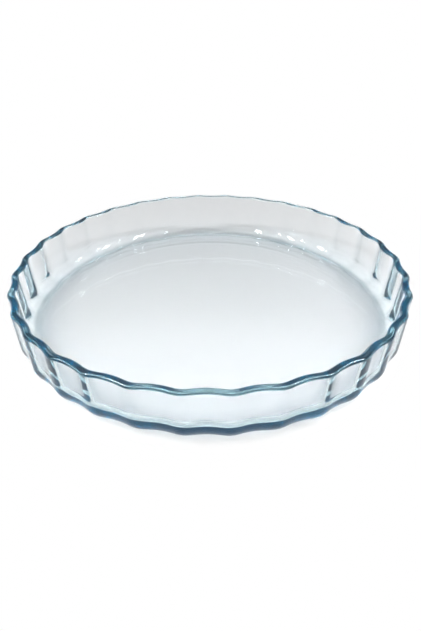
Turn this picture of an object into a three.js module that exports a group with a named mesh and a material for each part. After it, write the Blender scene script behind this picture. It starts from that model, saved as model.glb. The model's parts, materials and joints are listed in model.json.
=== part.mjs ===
// Fluted glass baking dish, pressed in one piece.
// Millimetres, +Z up. The dish stands on Z = 0 with its axis on the Z axis.

import * as THREE from 'three';
import { mergeVertices } from 'three/addons/utils/BufferGeometryUtils.js';

// Driving dimensions
const rimDiameter = 280; // over the ridges of the flutes, before the rim's edges are rounded
const height = 38; // table to the top of the rim
const fluteCount = 32;
const fluteDepthAtRim = 1.8; // from a ridge to the hollow beside it
const fluteDepthAtFoot = 1.7;
const wallDraft = 3.5; // degrees that the wall's outer face leans out from upright
const insideDraft = 5.8; // degrees that its inner face leans, so that the wall thickens downwards
const wallThickness = 5.2; // at the rim, measured level
const floorThickness = 5; // over the panel inside the foot ring
const heelRadius = 12; // outside round, wall to foot
const coveRadius = 12; // inside round, wall to floor
const rimRounding = 1.8; // both edges of the rim
const rimFlat = 0.4; // least flat left on top of the rim, if the wall is thin
const footRingWidth = 12; // flat ring that the dish stands on
const footPanelDepth = 0.3; // the panel inside the ring is raised by this much
const footPanelSlope = 6; // run of the soft step from the ring up to the panel

// Smoothness of the curves
const stepsPerFlute = 8;
const heelSteps = 5;
const coveSteps = 4;
const rimSteps = 3;

// Look of the glass
const glassColour = 0xcfe0ea;
const glassRoughness = 0.05;
const glassOpacity = 0.35;

/** A corner of the half section: its radius and height, its rounding, and whether the flutes shape it. */
function corner(radius, z, { rounding = 0, steps = 0, fluted = false } = {}) {
  return { at: new THREE.Vector2(radius, z), rounding, steps, fluted };
}

/** The corners of the half section, from the axis underneath, round the rim, to the axis inside. */
function sectionCorners() {
  const outerLean = Math.tan(THREE.MathUtils.degToRad(wallDraft));
  const innerLean = Math.tan(THREE.MathUtils.degToRad(insideDraft));
  const rimRadius = (rimDiameter - fluteDepthAtRim) / 2;
  const outerRadiusAt = (z) => rimRadius - (height - z) * outerLean;
  const innerRadiusAt = (z) => rimRadius - wallThickness - (height - z) * innerLean;

  // The heel's arc touches the table this far inside the sharp corner that it rounds off.
  const heelSetback = heelRadius * Math.tan(THREE.MathUtils.degToRad((90 - wallDraft) / 2));
  const ringOuterRadius = outerRadiusAt(0) - heelSetback;
  const ringInnerRadius = ringOuterRadius - footRingWidth;

  const floorTop = footPanelDepth + floorThickness;
  const rimEdge = Math.min(rimRounding, (wallThickness - rimFlat) / 2);
  const roundRim = { rounding: rimEdge, steps: rimSteps, fluted: true };

  return [
    corner(0, footPanelDepth),
    corner(ringInnerRadius - footPanelSlope, footPanelDepth),
    corner(ringInnerRadius, 0),
    corner(outerRadiusAt(0), 0, { rounding: heelRadius, steps: heelSteps, fluted: true }),
    corner(outerRadiusAt(height), height, roundRim),
    corner(innerRadiusAt(height), height, roundRim),
    corner(innerRadiusAt(floorTop), floorTop, { rounding: coveRadius, steps: coveSteps, fluted: true }),
    corner(0, floorTop),
  ];
}

/** Points of the arc that rounds off one corner, tangent to the edges from its two neighbours. */
function roundedCorner(before, { at, rounding, steps }, after) {
  const toBefore = before.at.clone().sub(at).normalize();
  const toAfter = after.at.clone().sub(at).normalize();
  const halfAngle = Math.acos(toBefore.dot(toAfter)) / 2;
  const bisector = toBefore.clone().add(toAfter).normalize();
  const centre = at.clone().addScaledVector(bisector, rounding / Math.sin(halfAngle));

  const setback = rounding / Math.tan(halfAngle);
  const first = at.clone().addScaledVector(toBefore, setback).sub(centre).angle();
  const last = at.clone().addScaledVector(toAfter, setback).sub(centre).angle();
  const turn = THREE.MathUtils.euclideanModulo(last - first + Math.PI, 2 * Math.PI) - Math.PI;
  const arc = new THREE.EllipseCurve(centre.x, centre.y, rounding, rounding, first, first + turn, turn < 0);
  return arc.getPoints(steps);
}

/** The half section as points, each with a mark that says whether the flutes shape it. */
function halfSection() {
  const corners = sectionCorners();
  return corners.flatMap((here, i) => {
    const points = here.rounding > 0 ? roundedCorner(corners[i - 1], here, corners[i + 1]) : [here.at];
    return points.map((point) => ({ point, fluted: here.fluted }));
  });
}

/** Pushes the wall out and in round the dish, as an even wave that is deepest at the rim. */
function fluteWall(geometry, section) {
  const positions = geometry.getAttribute('position');
  for (let i = 0; i < positions.count; i += 1) {
    if (section[i % section.length].fluted) {
      const angle = Math.atan2(positions.getY(i), positions.getX(i));
      const radius = Math.hypot(positions.getX(i), positions.getY(i));
      const depth = THREE.MathUtils.lerp(fluteDepthAtFoot, fluteDepthAtRim, positions.getZ(i) / height);
      const waved = radius + (depth / 2) * Math.cos(fluteCount * angle);
      positions.setXY(i, waved * Math.cos(angle), waved * Math.sin(angle));
    }
  }
}

/** The dish as one closed shape: the half section turned about the axis, then fluted. */
function dishGeometry() {
  const section = halfSection();
  const profile = section.map(({ point }) => point);
  const turned = new THREE.LatheGeometry(profile, fluteCount * stepsPerFlute);
  turned.rotateX(Math.PI / 2);
  fluteWall(turned, section);

  turned.deleteAttribute('normal');
  turned.deleteAttribute('uv');
  const closed = mergeVertices(turned);
  closed.computeVertexNormals();
  return closed;
}

const glass = new THREE.MeshStandardMaterial({
  color: glassColour,
  roughness: glassRoughness,
  metalness: 0,
  transparent: true,
  opacity: glassOpacity,
});

const flutedDish = new THREE.Mesh(dishGeometry(), glass);
flutedDish.name = 'fluted_dish';

const bakingDish = new THREE.Group();
bakingDish.add(flutedDish);

export default bakingDish;
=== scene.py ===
"""Fluted glass baking dish: the fine pressed-glass body, its finish, and the studio that it stands in."""

import json
import logging
import math
from collections.abc import Callable
from dataclasses import dataclass, field
from enum import Enum
from typing import Any

import bmesh
import bpy
from mathutils import Matrix, Vector

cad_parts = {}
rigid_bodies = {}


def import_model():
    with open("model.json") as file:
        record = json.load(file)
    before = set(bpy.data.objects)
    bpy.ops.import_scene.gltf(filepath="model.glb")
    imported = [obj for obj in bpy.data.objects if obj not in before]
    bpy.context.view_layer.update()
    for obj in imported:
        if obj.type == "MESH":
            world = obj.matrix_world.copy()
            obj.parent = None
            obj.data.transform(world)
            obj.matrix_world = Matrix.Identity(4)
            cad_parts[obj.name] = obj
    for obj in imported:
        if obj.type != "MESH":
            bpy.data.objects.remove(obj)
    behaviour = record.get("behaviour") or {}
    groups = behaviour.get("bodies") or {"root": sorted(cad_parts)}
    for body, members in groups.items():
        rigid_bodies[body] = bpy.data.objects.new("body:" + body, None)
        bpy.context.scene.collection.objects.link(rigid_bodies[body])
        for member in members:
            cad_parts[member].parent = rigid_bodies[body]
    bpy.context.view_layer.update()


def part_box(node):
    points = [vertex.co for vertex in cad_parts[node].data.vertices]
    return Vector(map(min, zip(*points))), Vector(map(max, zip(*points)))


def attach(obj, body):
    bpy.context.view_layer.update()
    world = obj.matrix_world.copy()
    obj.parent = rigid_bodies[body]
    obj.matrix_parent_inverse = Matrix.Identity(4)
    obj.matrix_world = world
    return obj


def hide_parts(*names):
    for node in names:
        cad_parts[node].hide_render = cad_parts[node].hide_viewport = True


Colour = tuple[float, float, float, float]

LOG = logging.getLogger("fluted_dish")
PHOTO_WIDTH = 421
PHOTO_HEIGHT = 631
LIGHT_BOUNCES = 128
SAME_PLACE = 1e-6
ROUND_PROFILE = 0.5
WHITE: Colour = (1.0, 1.0, 1.0, 1.0)

# Numbers of a Mix node's colour sockets
MIX_FIRST = 6
MIX_SECOND = 7
MIX_RESULT = 2


class Fold(Enum):
    """Which end of the wall a point of the flute belongs to."""

    RIM = "rim"
    FOOT = "foot"


class Blend(Enum):
    """How one colour is laid over another."""

    COVER = "MIX"
    SHADE = "MULTIPLY"


class Shade:
    """A value on its way through a material's nodes, which adds Math nodes as it is reckoned with."""

    def __init__(self, desk: "NodeDesk", socket: bpy.types.NodeSocket) -> None:
        """Wraps one output socket of a desk's node tree."""
        self.desk = desk
        self.socket = socket

    def _reckon(self, operation: str, first: Any, second: Any) -> "Shade":
        """Adds one Math node.

        Args:
            operation: the Math node's operation.
            first: its first number or shade.
            second: its second number or shade.

        Returns:
            The result as a shade.
        """
        return self.desk.node("ShaderNodeMath", {"operation": operation}, {0: first, 1: second})

    def __add__(self, other: Any) -> "Shade":
        """This value plus another."""
        return self._reckon("ADD", self, other)

    def __radd__(self, other: Any) -> "Shade":
        """Another value plus this one."""
        return self._reckon("ADD", other, self)

    def __mul__(self, other: Any) -> "Shade":
        """This value times another."""
        return self._reckon("MULTIPLY", self, other)

    def __rmul__(self, other: Any) -> "Shade":
        """Another value times this one."""
        return self._reckon("MULTIPLY", other, self)

    def at_most(self, limit: float) -> "Shade":
        """This value, or the limit where that is less."""
        return self._reckon("MINIMUM", self, limit)

    def ease(self, start: float, stop: float, before: float, after: float) -> "Shade":
        """Lets a value glide from one level to another as this one grows.

        Args:
            start: where the glide starts.
            stop: where it ends.
            before: the level up to its start.
            after: the level from its end on.

        Returns:
            The level as a shade.
        """
        return self.desk.node(
            "ShaderNodeMapRange",
            {"interpolation_type": "SMOOTHSTEP"},
            {"Value": self, "From Min": start, "From Max": stop, "To Min": before, "To Max": after},
        )


class NodeDesk:
    """A node tree, with one method that adds and wires any node."""

    def __init__(self, tree: bpy.types.NodeTree) -> None:
        """Takes over a node tree and empties it."""
        self.tree = tree
        self.tree.nodes.clear()

    def node(
        self,
        kind: str,
        settings: dict[str, Any],
        inputs: dict[Any, Any],
        output: Any = 0,
    ) -> Shade | None:
        """Adds one node, sets it and wires it.

        Args:
            kind: the node's type.
            settings: attributes that are set before the sockets.
            inputs: a value or a shade for each input socket, by name or number.
            output: the output socket that is handed back, by name or number.

        Returns:
            That output socket as a shade, or None where the node has no output.
        """
        made = self.tree.nodes.new(kind)
        for name, value in settings.items():
            setattr(made, name, value)
        for name, value in inputs.items():
            if isinstance(value, Shade):
                self.tree.links.new(value.socket, made.inputs[name])
            else:
                made.inputs[name].default_value = value
        return Shade(self, made.outputs[output]) if len(made.outputs) else None

    def blend(self, share: Shade, first: Any, second: Any, how: Blend = Blend.COVER) -> Shade:
        """Lays one colour over another.

        Args:
            share: how much of the second colour shows, from 0 to 1.
            first: the lower colour, or a shade of it.
            second: the upper colour, or a shade of it.
            how: the way that it is laid over.

        Returns:
            The colour that comes out, as a shade.
        """
        return self.node(
            "ShaderNodeMix",
            {"data_type": "RGBA", "blend_type": how.value},
            {"Factor": share, MIX_FIRST: first, MIX_SECOND: second},
            MIX_RESULT,
        )


@dataclass(frozen=True)
class PressedGlass:
    """Clear pressed glass with a steel-blue tint that shows where light runs a long way inside it.

    The surface is polished, with slight waves, a faint haze from use and a softer gloss on top of the rim.
    Lengths are in metres.
    """

    name: str = "pressed_glass"
    surface_colour: Colour = (0.995, 0.958, 0.959, 1.0)
    rim_colour: Colour = (0.93, 0.96, 0.965, 1.0)
    rim_start: float = 0.0360
    rim_full: float = 0.0368
    index: float = 1.474
    depth_colour: Colour = (0.21, 0.66, 0.765, 1.0)
    depth_density: float = 22.0
    wave_scale: float = 55.0
    wave_detail: float = 2.0
    wave_height: float = 0.00006
    haze_scale: float = 140.0
    haze_start: float = 0.45
    haze_full: float = 0.75
    haze_roughness: float = 0.03
    rim_roughness: float = 0.15

    def material(self) -> bpy.types.Material:
        """Makes the glass: its polished surface, waves and haze, the rim's gloss and the tint in its depth.

        Returns:
            The finished material.
        """
        glass = bpy.data.materials.new(self.name)
        glass.use_nodes = True
        desk = NodeDesk(glass.node_tree)
        place = desk.node("ShaderNodeTexCoord", {}, {}, "Object")
        wave = desk.node(
            "ShaderNodeTexNoise",
            {},
            {"Vector": place, "Scale": self.wave_scale, "Detail": self.wave_detail},
        )
        bump = desk.node(
            "ShaderNodeBump",
            {},
            {"Strength": 1.0, "Distance": self.wave_height, "Height": wave},
        )
        height = desk.node("ShaderNodeSeparateXYZ", {}, {"Vector": place}, "Z")
        rim = height.ease(self.rim_start, self.rim_full, 0.0, 1.0)
        colour = desk.blend(rim, self.surface_colour, self.rim_colour)
        grain = desk.node("ShaderNodeTexNoise", {}, {"Vector": place, "Scale": self.haze_scale})
        haze = grain.ease(self.haze_start, self.haze_full, 0.0, self.haze_roughness)
        surface = desk.node(
            "ShaderNodeBsdfPrincipled",
            {},
            {
                "Base Color": colour,
                "Roughness": haze + rim * self.rim_roughness,
                "IOR": self.index,
                "Transmission Weight": 1.0,
                "Normal": bump,
            },
        )
        depth = desk.node(
            "ShaderNodeVolumeAbsorption",
            {},
            {"Color": self.depth_colour, "Density": self.depth_density},
        )
        desk.node("ShaderNodeOutputMaterial", {}, {"Surface": surface, "Volume": depth})
        return glass


@dataclass(frozen=True)
class PaleSheet:
    """The plain white sheet that the dish stands on.

    It is painted greyer towards the back, a painted shade of light falling off behind the dish, has a soft
    shaded ring under the dish's edge, and is plain white round the dish, apart from the round place behind
    the dish that is seen through its wall. Lengths are in metres.
    """

    name: str = "pale_sheet"
    front_colour: Colour = (0.97, 0.97, 0.97, 1.0)
    # Painted shade: the grey that the sheet is painted towards the back, as light falling off behind the dish
    painted_shade_back_colour: Colour = (0.65, 0.65, 0.65, 1.0)
    grade_front: float = -0.15
    grade_back: float = 0.25
    shade_colour: Colour = (0.86, 0.86, 0.87, 1.0)
    shade_inner: tuple[float, float] = (0.110, 0.121)
    shade_outer: tuple[float, float] = (0.124, 0.133)
    hidden_place: tuple[float, float, float] = (0.006, 0.071, 0.0)
    hidden_start: float = 0.155
    hidden_full: float = 0.173
    white_start: float = 0.126
    white_full: float = 0.141

    def material(self) -> bpy.types.Material:
        """Makes the sheet's matt white, which takes the dish's shadow, and the plain white round it.

        Returns:
            The finished material.
        """
        sheet = bpy.data.materials.new(self.name)
        sheet.use_nodes = True
        desk = NodeDesk(sheet.node_tree)
        place = desk.node("ShaderNodeTexCoord", {}, {}, "Object")
        behind = desk.node("ShaderNodeSeparateXYZ", {}, {"Vector": place}, "Y")
        # Painted shade: the sheet's colour darkens from front to back, as light falling off behind the dish
        grade = behind.ease(self.grade_front, self.grade_back, 0.0, 1.0)
        painted_shade_tone = desk.blend(grade, self.front_colour, self.painted_shade_back_colour)
        away = desk.node("ShaderNodeVectorMath", {"operation": "LENGTH"}, {0: place}, "Value")
        under = away.ease(*self.shade_inner, 0.0, 1.0) * away.ease(*self.shade_outer, 1.0, 0.0)
        shaded = desk.blend(under, painted_shade_tone, self.shade_colour, Blend.SHADE)
        matt = desk.node(
            "ShaderNodeBsdfPrincipled",
            {},
            {"Base Color": shaded, "Roughness": 1.0, "Specular IOR Level": 0.0},
        )
        white = desk.node("ShaderNodeEmission", {}, {"Color": WHITE, "Strength": 1.0})
        direct = desk.node("ShaderNodeLightPath", {}, {}, "Is Camera Ray")
        mirrored = desk.node("ShaderNodeLightPath", {}, {}, "Is Glossy Ray")
        through = desk.node("ShaderNodeLightPath", {}, {}, "Is Transmission Ray")
        seen = (direct + mirrored + through).at_most(1.0)
        clear = desk.node(
            "ShaderNodeVectorMath",
            {"operation": "DISTANCE"},
            {0: place, 1: self.hidden_place},
            "Value",
        )
        beyond = clear.ease(self.hidden_start, self.hidden_full, 0.0, 1.0)
        far = beyond * away.ease(self.white_start, self.white_full, 0.0, 1.0)
        surface = desk.node("ShaderNodeMixShader", {}, {0: far * seen, 1: matt, 2: white})
        desk.node("ShaderNodeOutputMaterial", {}, {"Surface": surface})
        return sheet


@dataclass(frozen=True)
class Corner:
    """One corner of the dish's half section."""

    radius: float
    height: float
    rounding: float = 0.0
    steps: int = 0

    @property
    def place(self) -> Vector:
        """Where the corner lies, in the plane that the section is drawn in."""
        return Vector((self.radius, 0, self.height))


@dataclass
class FlutedDish:
    """The whole dish, one body of glass.

    Sizes are in metres and follow the CAD node's. The ridges of the flutes are a little sharper than there.
    """

    overall: float
    height: float
    flute_count: int = 32
    flute_depth_at_rim: float = 0.0018
    flute_depth_at_foot: float = 0.0017
    ridge_sharpness: float = 0.1
    wall_draft: float = math.radians(3.5)
    inside_draft: float = math.radians(5.8)
    wall_thickness: float = 0.0052
    floor_thickness: float = 0.005
    heel_radius: float = 0.012
    cove_radius: float = 0.012
    rim_rounding: float = 0.0018
    foot_ring_width: float = 0.012
    foot_panel_depth: float = 0.0003
    foot_panel_slope: float = 0.006
    foot_panel_rounding: float = 0.11
    columns: int = 20
    heel_steps: int = 20
    cove_steps: int = 20
    rim_steps: int = 8
    foot_panel_steps: int = 6
    wall_cuts: int = 7
    floor_cuts: int = 5
    node: str = "fluted_dish"
    slot: str = "clear_glass"
    finish: PressedGlass = field(default_factory=PressedGlass)

    @property
    def rim_radius(self) -> float:
        """Mean radius of the wall's outer face, carried up to the top of the rim."""
        flare = self.rim_rounding * (math.tan(self.wall_draft) + 1 / math.cos(self.wall_draft) - 1)
        return (self.overall - self.flute_depth_at_rim) / 2 + flare

    @property
    def floor_top(self) -> float:
        """Height of the floor's upper face."""
        return self.foot_panel_depth + self.floor_thickness

    def outer_radius(self, height: float) -> float:
        """Mean radius of the wall's outer face at a height."""
        return self.rim_radius - (self.height - height) * math.tan(self.wall_draft)

    def inner_radius(self, height: float) -> float:
        """Mean radius of the wall's inner face at a height."""
        return self.rim_radius - self.wall_thickness - (self.height - height) * math.tan(self.inside_draft)

    @property
    def ring_outer(self) -> float:
        """Radius where the heel's round runs out on the table."""
        return self.outer_radius(0) - self.heel_radius * math.tan((math.pi / 2 - self.wall_draft) / 2)

    @property
    def ring_inner(self) -> float:
        """Radius of the inner edge of the ring that the dish stands on."""
        return self.ring_outer - self.foot_ring_width

    @property
    def floor_edge(self) -> float:
        """Radius where the cove's round runs out on the floor."""
        setback = self.cove_radius * math.tan((math.pi / 2 - self.inside_draft) / 2)
        return self.inner_radius(self.floor_top) - setback

    @property
    def flute_angle(self) -> float:
        """Angle that one flute takes up round the dish."""
        return 2 * math.pi / self.flute_count

    def corners(self) -> list[Corner]:
        """Lists the half section's corners, from the axis underneath, over the rim, to the axis inside.

        Returns:
            The corners in order.
        """
        panel_edge = self.ring_inner - self.foot_panel_slope
        return [
            Corner(0, self.foot_panel_depth),
            Corner(panel_edge, self.foot_panel_depth, self.foot_panel_rounding, self.foot_panel_steps),
            Corner(self.ring_inner, 0, self.foot_panel_rounding, self.foot_panel_steps),
            Corner(self.outer_radius(0), 0, self.heel_radius, self.heel_steps),
            Corner(self.outer_radius(self.height), self.height, self.rim_rounding, self.rim_steps),
            Corner(self.inner_radius(self.height), self.height, self.rim_rounding, self.rim_steps),
            Corner(self.inner_radius(self.floor_top), self.floor_top, self.cove_radius, self.cove_steps),
            Corner(0, self.floor_top),
        ]

    def build(self) -> bpy.types.Object:
        """Models the dish by drawing its section, turning one flute of it and repeating that flute.

        Returns:
            The finished piece.
        """
        piece = self._draw_section()
        self._round_section(piece)
        self._turn_one_flute()
        self._shape_flute(piece)
        self._repeat_flute(piece)
        return piece

    def _draw_section(self) -> bpy.types.Object:
        """Draws the half section's corners as a chain of edges, from a plane shrunk to its middle.

        Returns:
            The chain, in edit mode.
        """
        corners = self.corners()
        deselect_all()
        bpy.ops.mesh.primitive_plane_add(size=self.wall_thickness, location=corners[0].place)
        piece = bpy.context.object
        piece.name = "glass_dish"
        piece.data.name = "glass_dish"
        bpy.ops.object.transform_apply(location=True, rotation=True, scale=True)
        bpy.ops.object.mode_set(mode="EDIT")
        bpy.ops.mesh.select_all(action="SELECT")
        bpy.ops.mesh.merge(type="CENTER")
        for before, after in zip(corners, corners[1:]):
            step = after.place - before.place
            bpy.ops.mesh.extrude_vertices_move(TRANSFORM_OT_translate={"value": step})
        return piece

    def _round_section(self, piece: bpy.types.Object) -> None:
        """Rounds the section's corners and adds rings across the floor and the foot panel."""
        corners = self.corners()
        for before, here, after in zip(corners, corners[1:], corners[2:]):
            if here.rounding:
                opening = (before.place - here.place).angle(after.place - here.place)
                select_vertices(piece, lambda spot: (spot - here.place).length < SAME_PLACE)
                bpy.ops.mesh.bevel(
                    offset=here.rounding / math.tan(opening / 2),
                    offset_type="ABSOLUTE",
                    segments=here.steps,
                    profile=ROUND_PROFILE,
                    affect="VERTICES",
                )
        select_edges(piece, lambda one, two: min(one.x, two.x) < SAME_PLACE)
        bpy.ops.mesh.subdivide(number_cuts=self.floor_cuts)

    def _turn_one_flute(self) -> None:
        """Turns the section about the axis through the angle of one flute."""
        bpy.ops.mesh.select_all(action="SELECT")
        bpy.ops.mesh.spin(steps=self.columns, angle=self.flute_angle, center=(0, 0, 0), axis=(0, 0, 1))

    def _shape_flute(self, piece: bpy.types.Object) -> None:
        """Lets each column of the wall out or in about the axis, then adds rings up the wall."""
        plain_radius = (self.ring_inner + min(self.ring_outer, self.floor_edge)) / 2
        middle = self.height / 2
        depths = {
            Fold.RIM: self.flute_depth_at_rim / self.rim_radius,
            Fold.FOOT: self.flute_depth_at_foot / self.outer_radius(0),
        }
        step = self.flute_angle / self.columns
        for column in range(-self.columns, self.columns + 1):
            angle = column * step
            turn = self.flute_count * angle
            wave = math.cos(turn) + self.ridge_sharpness * (math.cos(2 * turn) - 1)
            for fold, depth in depths.items():

                def belongs(spot: Vector) -> bool:
                    """True for a point of this column at this end of the wall."""
                    on_wall = math.hypot(spot.x, spot.y) > plain_radius
                    in_column = abs(math.atan2(spot.y, spot.x) - angle) < step / 2
                    at_this_end = (spot.z > middle) == (fold is Fold.RIM)
                    return on_wall and in_column and at_this_end

                if select_vertices(piece, belongs):
                    let_out = 1 + depth / 2 * wave
                    bpy.ops.transform.resize(value=(let_out, let_out, 1), center_override=(0, 0, 0))
        select_edges(piece, lambda one, two: (one.z > middle) != (two.z > middle))
        bpy.ops.mesh.subdivide(number_cuts=self.wall_cuts)

    def _repeat_flute(self, piece: bpy.types.Object) -> None:
        """Repeats the flute all round the dish, joins the copies and smooths the surface."""
        copies = self.flute_count - 1
        bpy.ops.mesh.select_all(action="SELECT")
        bpy.ops.mesh.spin(
            steps=copies,
            dupli=True,
            angle=self.flute_angle * copies,
            center=(0, 0, 0),
            axis=(0, 0, 1),
        )
        bpy.ops.mesh.select_all(action="SELECT")
        bpy.ops.mesh.remove_doubles(threshold=SAME_PLACE)
        bpy.ops.mesh.normals_make_consistent(inside=False)
        bpy.ops.object.mode_set(mode="OBJECT")
        bpy.ops.object.shade_smooth()
        weighted = piece.modifiers.new("even_normals", "WEIGHTED_NORMAL")
        weighted.mode = "FACE_AREA"
        bpy.ops.object.modifier_apply(modifier=weighted.name)

    def dress(self, piece: bpy.types.Object) -> None:
        """Gives the piece its glass and puts it in the CAD node's place."""
        piece.data.materials.clear()
        piece.data.materials.append(self.finish.material())
        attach(piece, "root")
        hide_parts(self.node)


@dataclass(frozen=True)
class Softbox:
    """A square lamp that faces the dish. Its bearing is counted from the front, in degrees."""

    name: str
    bearing: float
    elevation: float = 50.0
    distance: float = 1.2
    width: float = 0.24
    brightness: float = 34.5

    def place(self) -> bpy.types.Object:
        """Hangs the lamp and turns it to the dish.

        Returns:
            The lamp.
        """
        bearing = math.radians(self.bearing)
        elevation = math.radians(self.elevation)
        level = Vector((math.sin(bearing), -math.cos(bearing), 0))
        towards = level * math.cos(elevation) + Vector((0, 0, math.sin(elevation)))
        bpy.ops.object.light_add(type="AREA", location=towards * self.distance)
        lamp = bpy.context.object
        lamp.name = self.name
        lamp.rotation_euler = towards.to_track_quat("Z", "Y").to_euler()
        lamp.data.shape = "SQUARE"
        lamp.data.size = self.width
        lamp.data.energy = self.brightness * math.pi * self.width**2
        return lamp


@dataclass(frozen=True)
class PaleRoom:
    """The room's own light: white low down, dimmer above that, and pale again higher up."""

    base_level: float = 0.2
    low_level: float = 0.8
    low_start: float = math.radians(14)
    low_stop: float = math.radians(20)
    front_level: float = 0.45
    back_level: float = 0.5
    high_start: float = math.radians(31)
    high_stop: float = math.radians(37)
    turn_front: float = -0.1
    turn_back: float = 0.35

    def light(self) -> None:
        """Makes the room the scene's world."""
        world = bpy.data.worlds.new("pale_room")
        bpy.context.scene.world = world
        world.use_nodes = True
        desk = NodeDesk(world.node_tree)
        way = desk.node("ShaderNodeTexCoord", {}, {}, "Generated")
        rise = desk.node("ShaderNodeSeparateXYZ", {}, {"Vector": way}, "Z")
        behind = desk.node("ShaderNodeSeparateXYZ", {}, {"Vector": way}, "Y")
        low = rise.ease(math.sin(self.low_start), math.sin(self.low_stop), self.low_level, 0.0)
        high = rise.ease(math.sin(self.high_start), math.sin(self.high_stop), 0.0, 1.0)
        side = behind.ease(self.turn_front, self.turn_back, self.front_level, self.back_level)
        level = self.base_level + low + high * side
        backdrop = desk.node("ShaderNodeBackground", {}, {"Color": WHITE, "Strength": level})
        desk.node("ShaderNodeOutputWorld", {}, {"Surface": backdrop})


@dataclass
class Studio:
    """The white sheet, the lamps and the pale room round the dish."""

    sheet_size: float = 14.0
    sheet_gap: float = 0.0003
    sheet: PaleSheet = field(default_factory=PaleSheet)
    room: PaleRoom = field(default_factory=PaleRoom)
    lamps: tuple[Softbox, ...] = (Softbox("left_softbox", -80.0), Softbox("right_softbox", 80.0))

    def build(self) -> None:
        """Lays the sheet, hangs the lamps and lights the room."""
        deselect_all()
        bpy.ops.mesh.primitive_plane_add(size=self.sheet_size, location=(0, 0, -self.sheet_gap))
        sheet = bpy.context.object
        sheet.name = "white_sheet"
        sheet.data.materials.append(self.sheet.material())
        for lamp in self.lamps:
            lamp.place()
        self.room.light()

    def set_light_paths(self) -> None:
        """Lets light run on inside the glass, keeps its reflections crisp and shows colours as they are."""
        scene = bpy.context.scene
        scene.view_settings.view_transform = "Standard"
        scene.cycles.blur_glossy = 0.0
        scene.cycles.sample_clamp_indirect = 0.0
        scene.cycles.max_bounces = LIGHT_BOUNCES
        scene.cycles.transmission_bounces = LIGHT_BOUNCES
        scene.cycles.glossy_bounces = LIGHT_BOUNCES


@dataclass(frozen=True)
class PhotoCamera:
    """The camera, placed as the photograph's was. Angles are in degrees."""

    distance: float = 0.3511
    height: float = 0.2247
    bearing: float = -4.734
    pitch: float = 33.218
    yaw: float = 0.044
    roll: float = 0.257
    focal_pixels: float = 550.5
    sensor: float = 36.0

    def place(self) -> bpy.types.Object:
        """Sets the camera up and makes it the scene's.

        Returns:
            The camera.
        """
        data = bpy.data.cameras.new("photo_camera")
        data.sensor_width = self.sensor
        data.lens = self.focal_pixels / max(PHOTO_WIDTH, PHOTO_HEIGHT) * self.sensor
        camera = bpy.data.objects.new("photo_camera", data)
        bpy.context.scene.collection.objects.link(camera)
        bearing = math.radians(self.bearing)
        stand = Vector((self.distance * math.sin(bearing), -self.distance * math.cos(bearing), self.height))
        camera.matrix_world = (
            Matrix.Translation(stand)
            @ Matrix.Rotation(bearing - math.radians(self.yaw), 4, "Z")
            @ Matrix.Rotation(math.pi / 2 - math.radians(self.pitch), 4, "X")
            @ Matrix.Rotation(-math.radians(self.roll), 4, "Z")
        )
        bpy.context.scene.camera = camera
        return camera


def deselect_all() -> None:
    """Deselects every object, so that an operator acts on the new one alone."""
    for thing in bpy.context.view_layer.objects:
        thing.select_set(False)


def select_vertices(piece: bpy.types.Object, test: Callable[[Vector], bool]) -> int:
    """Selects the vertices of a mesh in edit mode that pass a test of their place.

    Args:
        piece: the object that is being edited.
        test: says whether a place is wanted.

    Returns:
        How many vertices are selected.
    """
    bpy.ops.mesh.select_mode(type="VERT")
    bpy.ops.mesh.select_all(action="DESELECT")
    mesh = bmesh.from_edit_mesh(piece.data)
    wanted = [vertex for vertex in mesh.verts if test(vertex.co)]
    for vertex in wanted:
        vertex.select_set(True)
    mesh.select_flush_mode()
    bmesh.update_edit_mesh(piece.data)
    return len(wanted)


def select_edges(piece: bpy.types.Object, test: Callable[[Vector, Vector], bool]) -> None:
    """Selects the edges of a mesh in edit mode that pass a test of their two ends.

    Args:
        piece: the object that is being edited.
        test: says whether an edge between two places is wanted.
    """
    bpy.ops.mesh.select_mode(type="EDGE")
    bpy.ops.mesh.select_all(action="DESELECT")
    mesh = bmesh.from_edit_mesh(piece.data)
    for edge in mesh.edges:
        if test(edge.verts[0].co, edge.verts[1].co):
            edge.select_set(True)
    mesh.select_flush_mode()
    bmesh.update_edit_mesh(piece.data)


def main() -> None:
    """Builds the dish, sized from the CAD node's box, and its studio round the frame, and logs the dish's
    faces.
    """
    logging.basicConfig(level=logging.INFO, format="%(name)s: %(message)s")
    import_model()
    low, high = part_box("fluted_dish")
    PhotoCamera().place()
    dish = FlutedDish(overall=high.x - low.x, height=high.z - low.z)
    piece = dish.build()
    dish.dress(piece)
    LOG.info("%s has %d faces", piece.name, len(piece.data.polygons))
    studio = Studio()
    studio.build()
    studio.set_light_paths()


if __name__ == "__main__":
    main()
